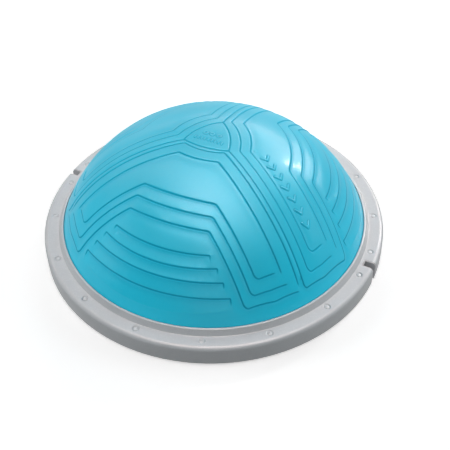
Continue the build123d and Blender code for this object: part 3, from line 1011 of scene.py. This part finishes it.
def stage_floor():
    """A flat floor that sweeps up into a backdrop towards +Y, as one sheet."""
    verts, faces = [], []
    for y in np.linspace(*FLOOR_Y, FLOOR_ROWS):
        t = max(0.0, (y - SWEEP_START) / SWEEP_RUN)
        for x in np.linspace(-FLOOR_HALF, FLOOR_HALF, FLOOR_COLUMNS):
            verts.append((x, y, -FLOOR_DROP + SWEEP_RISE * t * t))
    w = FLOOR_COLUMNS
    for i in range(FLOOR_ROWS - 1):
        for j in range(w - 1):
            a = i * w + j
            faces.append((a, a + 1, a + 1 + w, a + w))
    me = bpy.data.meshes.new("studio_floor")
    me.from_pydata(verts, [], faces)
    me.polygons.foreach_set("use_smooth", [True] * len(faces))
    ob = bpy.data.objects.new("studio_floor", me)
    bpy.context.scene.collection.objects.link(ob)
    me.materials.append(floor_paper())


stage_floor()


# =============================================================================================
# world
# =============================================================================================
# the camera's level axes: it stands on the -Y side, turned towards +X
AZIMUTH = math.radians(27)
RIGHT = Vector((math.cos(AZIMUTH), math.sin(AZIMUTH), 0))
AWAY = Vector((-math.sin(AZIMUTH), math.cos(AZIMUTH), 0))
UP = Vector((0, 0, 1))


def place(right, away, up):
    return RIGHT * right + AWAY * away + UP * up


# broad soft patches of sky for the satin surfaces to mirror:
# azimuth right of AWAY, elevation, strength
SHEEN = (
    (0, 90, 3.48),
    (0, 72, 3.63), (60, 72, 4.50), (120, 72, 5.58), (180, 72, 5.21),
    (-120, 72, 1.10), (-60, 72, 5.42),
    (0, 52, 1.89), (40, 52, 3.73), (80, 52, 0.37), (120, 52, 1.80), (180, 52, 1.27),
    (-120, 52, 1.68), (-80, 52, 0.00), (-40, 52, 3.63),
    (0, 30, 0.00), (25, 30, 3.20), (50, 30, 4.26), (80, 30, 0.72),
    (-25, 30, 0.26), (-50, 30, 1.50), (-80, 30, 0.87),
    (0, 9, 3.01), (22, 9, 7.20), (44, 9, 4.20), (70, 9, 0.00),
    (-22, 9, 1.12), (-44, 9, 0.37), (-70, 9, 0.02),
)
SHEEN_SPREAD = 30.0  # higher makes the patches smaller
SHEEN_BASE = 0.18
SHEEN_TINT = (1.0, 0.84, 0.80, 1.0)


def sheen_sky(n, direction):
    """Sum of the sky patches."""
    total = None
    for k, (azimuth, elevation, strength) in enumerate(SHEEN):
        az, el = math.radians(azimuth), math.radians(elevation)
        level = RIGHT * math.sin(az) + AWAY * math.cos(az)
        dot = n.node("ShaderNodeVectorMath", operation="DOT_PRODUCT")
        n.put(dot.inputs[0], direction)
        dot.inputs[1].default_value = level * math.cos(el) + UP * math.sin(el)
        fall = n.node("ShaderNodeMath", operation="MULTIPLY_ADD")
        n.put(fall.inputs[0], dot.outputs["Value"])
        fall.inputs[1].default_value = SHEEN_SPREAD
        fall.inputs[2].default_value = -SHEEN_SPREAD
        lobe = n.node("ShaderNodeMath", operation="EXPONENT")
        n.put(lobe.inputs[0], fall.outputs[0])
        add = n.node("ShaderNodeMath", name="sheen_%d" % k, operation="MULTIPLY_ADD")
        n.put(add.inputs[0], lobe.outputs[0])
        add.inputs[1].default_value = strength
        add.inputs[2].default_value = SHEEN_BASE
        if total is not None:
            n.put(add.inputs[2], total)
        total = add.outputs[0]
    return total


def studio_world():
    """White to the camera, patches of sky to glossy rays, a soft gradient to the rest."""
    world = bpy.data.worlds.new("studio")
    bpy.context.scene.world = world
    n = Tree(world)
    out = n.node("ShaderNodeOutputWorld")
    background = n.node("ShaderNodeBackground")
    n.put(out.inputs[0], background.outputs[0])
    direction = n.node("ShaderNodeTexCoord").outputs["Generated"]
    axes = n.node("ShaderNodeSeparateXYZ")
    n.put(axes.inputs[0], direction)
    soft = n.span(axes.outputs["Z"], lo=-0.1, hi=0.95, to_lo=0.078, to_hi=0.254)
    sky = sheen_sky(n, direction)
    rays = n.node("ShaderNodeLightPath")

    def choose(ray, otherwise, when, first=2, **props):
        mix = n.node("ShaderNodeMix", **props)
        n.put(mix.inputs["Factor"], rays.outputs[ray])
        n.put(mix.inputs[first], otherwise)
        n.put(mix.inputs[first + 1], when)
        return mix

    lit = choose("Is Glossy Ray", soft, sky)
    seen = choose("Is Camera Ray", lit.outputs[0], 1.0)
    n.put(background.inputs["Strength"], seen.outputs[0])
    white = (1.0, 1.0, 1.0, 1.0)
    tint = choose("Is Glossy Ray", white, SHEEN_TINT, first=6, data_type="RGBA")
    n.put(background.inputs["Color"], tint.outputs[2])


studio_world()


# =============================================================================================
# lights
# =============================================================================================
def area(name, at, look, size, power, color=(1, 1, 1), size_y=None):
    light = bpy.data.lights.new(name, "AREA")
    light.energy = power
    light.color = color
    light.shape = "RECTANGLE"
    light.size = size
    light.size_y = size_y or size
    ob = bpy.data.objects.new(name, light)
    bpy.context.scene.collection.objects.link(ob)
    ob.location = at
    ob.rotation_mode = "QUATERNION"
    ob.rotation_quaternion = (Vector(look) - Vector(at)).to_track_quat("-Z", "Y")
    return ob


# soft lights that show in no reflection: name, place (right, away, up), size, power
FILLS = (
    ("back_left_fill", (-1.6, 1.5, 1.5), 1.4, 5.3),
    ("back_low", (0.2, 2.3, 0.6), 1.4, 20.8),
    ("front_fill", (0, -1.5, 1.9), 1.2, 4.8),
    ("front_low", (0, -2.2, 0.7), 1.2, 7.2),
    ("left_low", (-2.2, -0.1, 0.8), 1.2, 21.0),
    ("right_low", (2.2, -0.1, 0.8), 1.2, 18.3),
)
RIM_LOOK = (0, 0, 0.04)


def studio_lights():
    for name, at, size, power in FILLS:
        area(name, place(*at), (0, 0, 0.1), size, power).visible_glossy = False
    gloss = area(
        "left_gloss", place(-0.22, -0.12, 2.3), look=(0, 0, 0.15),
        size=0.7, power=5.5, color=(1.0, 0.42, 0.34),
    )
    gloss.visible_diffuse = False
    # two that only the rim ring and its caps see, for the bright line along their edges
    strip = area(
        "rim_strip", place(1.9, 1.1, 0.9), RIM_LOOK, size=1.5, power=16.0, size_y=0.5
    )
    receivers = bpy.data.collections.new("rim_strip_receivers")
    for part in ("clamp_ring", "screw_caps"):
        if part in frame["nodes"]:  # a frame may lack one of them
            receivers.objects.link(frame["nodes"][part])
    haze = area(
        "rim_haze", place(0.0, 1.6, 1.6), RIM_LOOK, size=1.2, power=9.0, color=(0.86, 0.96, 1.0)
    )
    for light in (strip, haze):
        light.visible_diffuse = False
        light.light_linking.receiver_collection = receivers
    area("glint", (0.70, 1.64, 1.21), look=(0.13, 0.02, 0.19), size=0.09, power=6.0, size_y=0.16)


studio_lights()


# =============================================================================================
# camera
# =============================================================================================
ELEVATION = math.radians(44.4)
ROLL = -0.0322  # radians
DISTANCE = 1.6055
TARGET = Vector((0, 0, 0.003))
AIM_RIGHT, AIM_UP = 0.0195275753, 0.0092928072  # the aim's offset from the target


def studio_camera():
    data = bpy.data.cameras.new("camera")
    cam = bpy.data.objects.new("camera", data)
    bpy.context.scene.collection.objects.link(cam)
    bpy.context.scene.camera = cam
    data.sensor_width = 36.0
    data.lens = 70.9
    data.clip_start, data.clip_end = 0.05, 60.0
    level = math.cos(ELEVATION)
    back = Vector(
        (math.sin(AZIMUTH) * level, -math.cos(AZIMUTH) * level, math.sin(ELEVATION))
    )
    up = back.cross(RIGHT)
    rolled_right = RIGHT * math.cos(ROLL) + up * math.sin(ROLL)
    rolled_up = up * math.cos(ROLL) - RIGHT * math.sin(ROLL)
    eye = TARGET + back * DISTANCE
    aim = TARGET + rolled_right * AIM_RIGHT + rolled_up * AIM_UP
    z_axis = (eye - aim).normalized()
    x_axis = (rolled_right - z_axis * rolled_right.dot(z_axis)).normalized()
    turn = Matrix((x_axis, z_axis.cross(x_axis), z_axis)).transposed()
    cam.matrix_world = Matrix.Translation(eye) @ turn.to_4x4()


studio_camera()
view = bpy.context.scene.view_settings
view.view_transform = "Standard"
view.look = "None"
view.exposure = 0.0
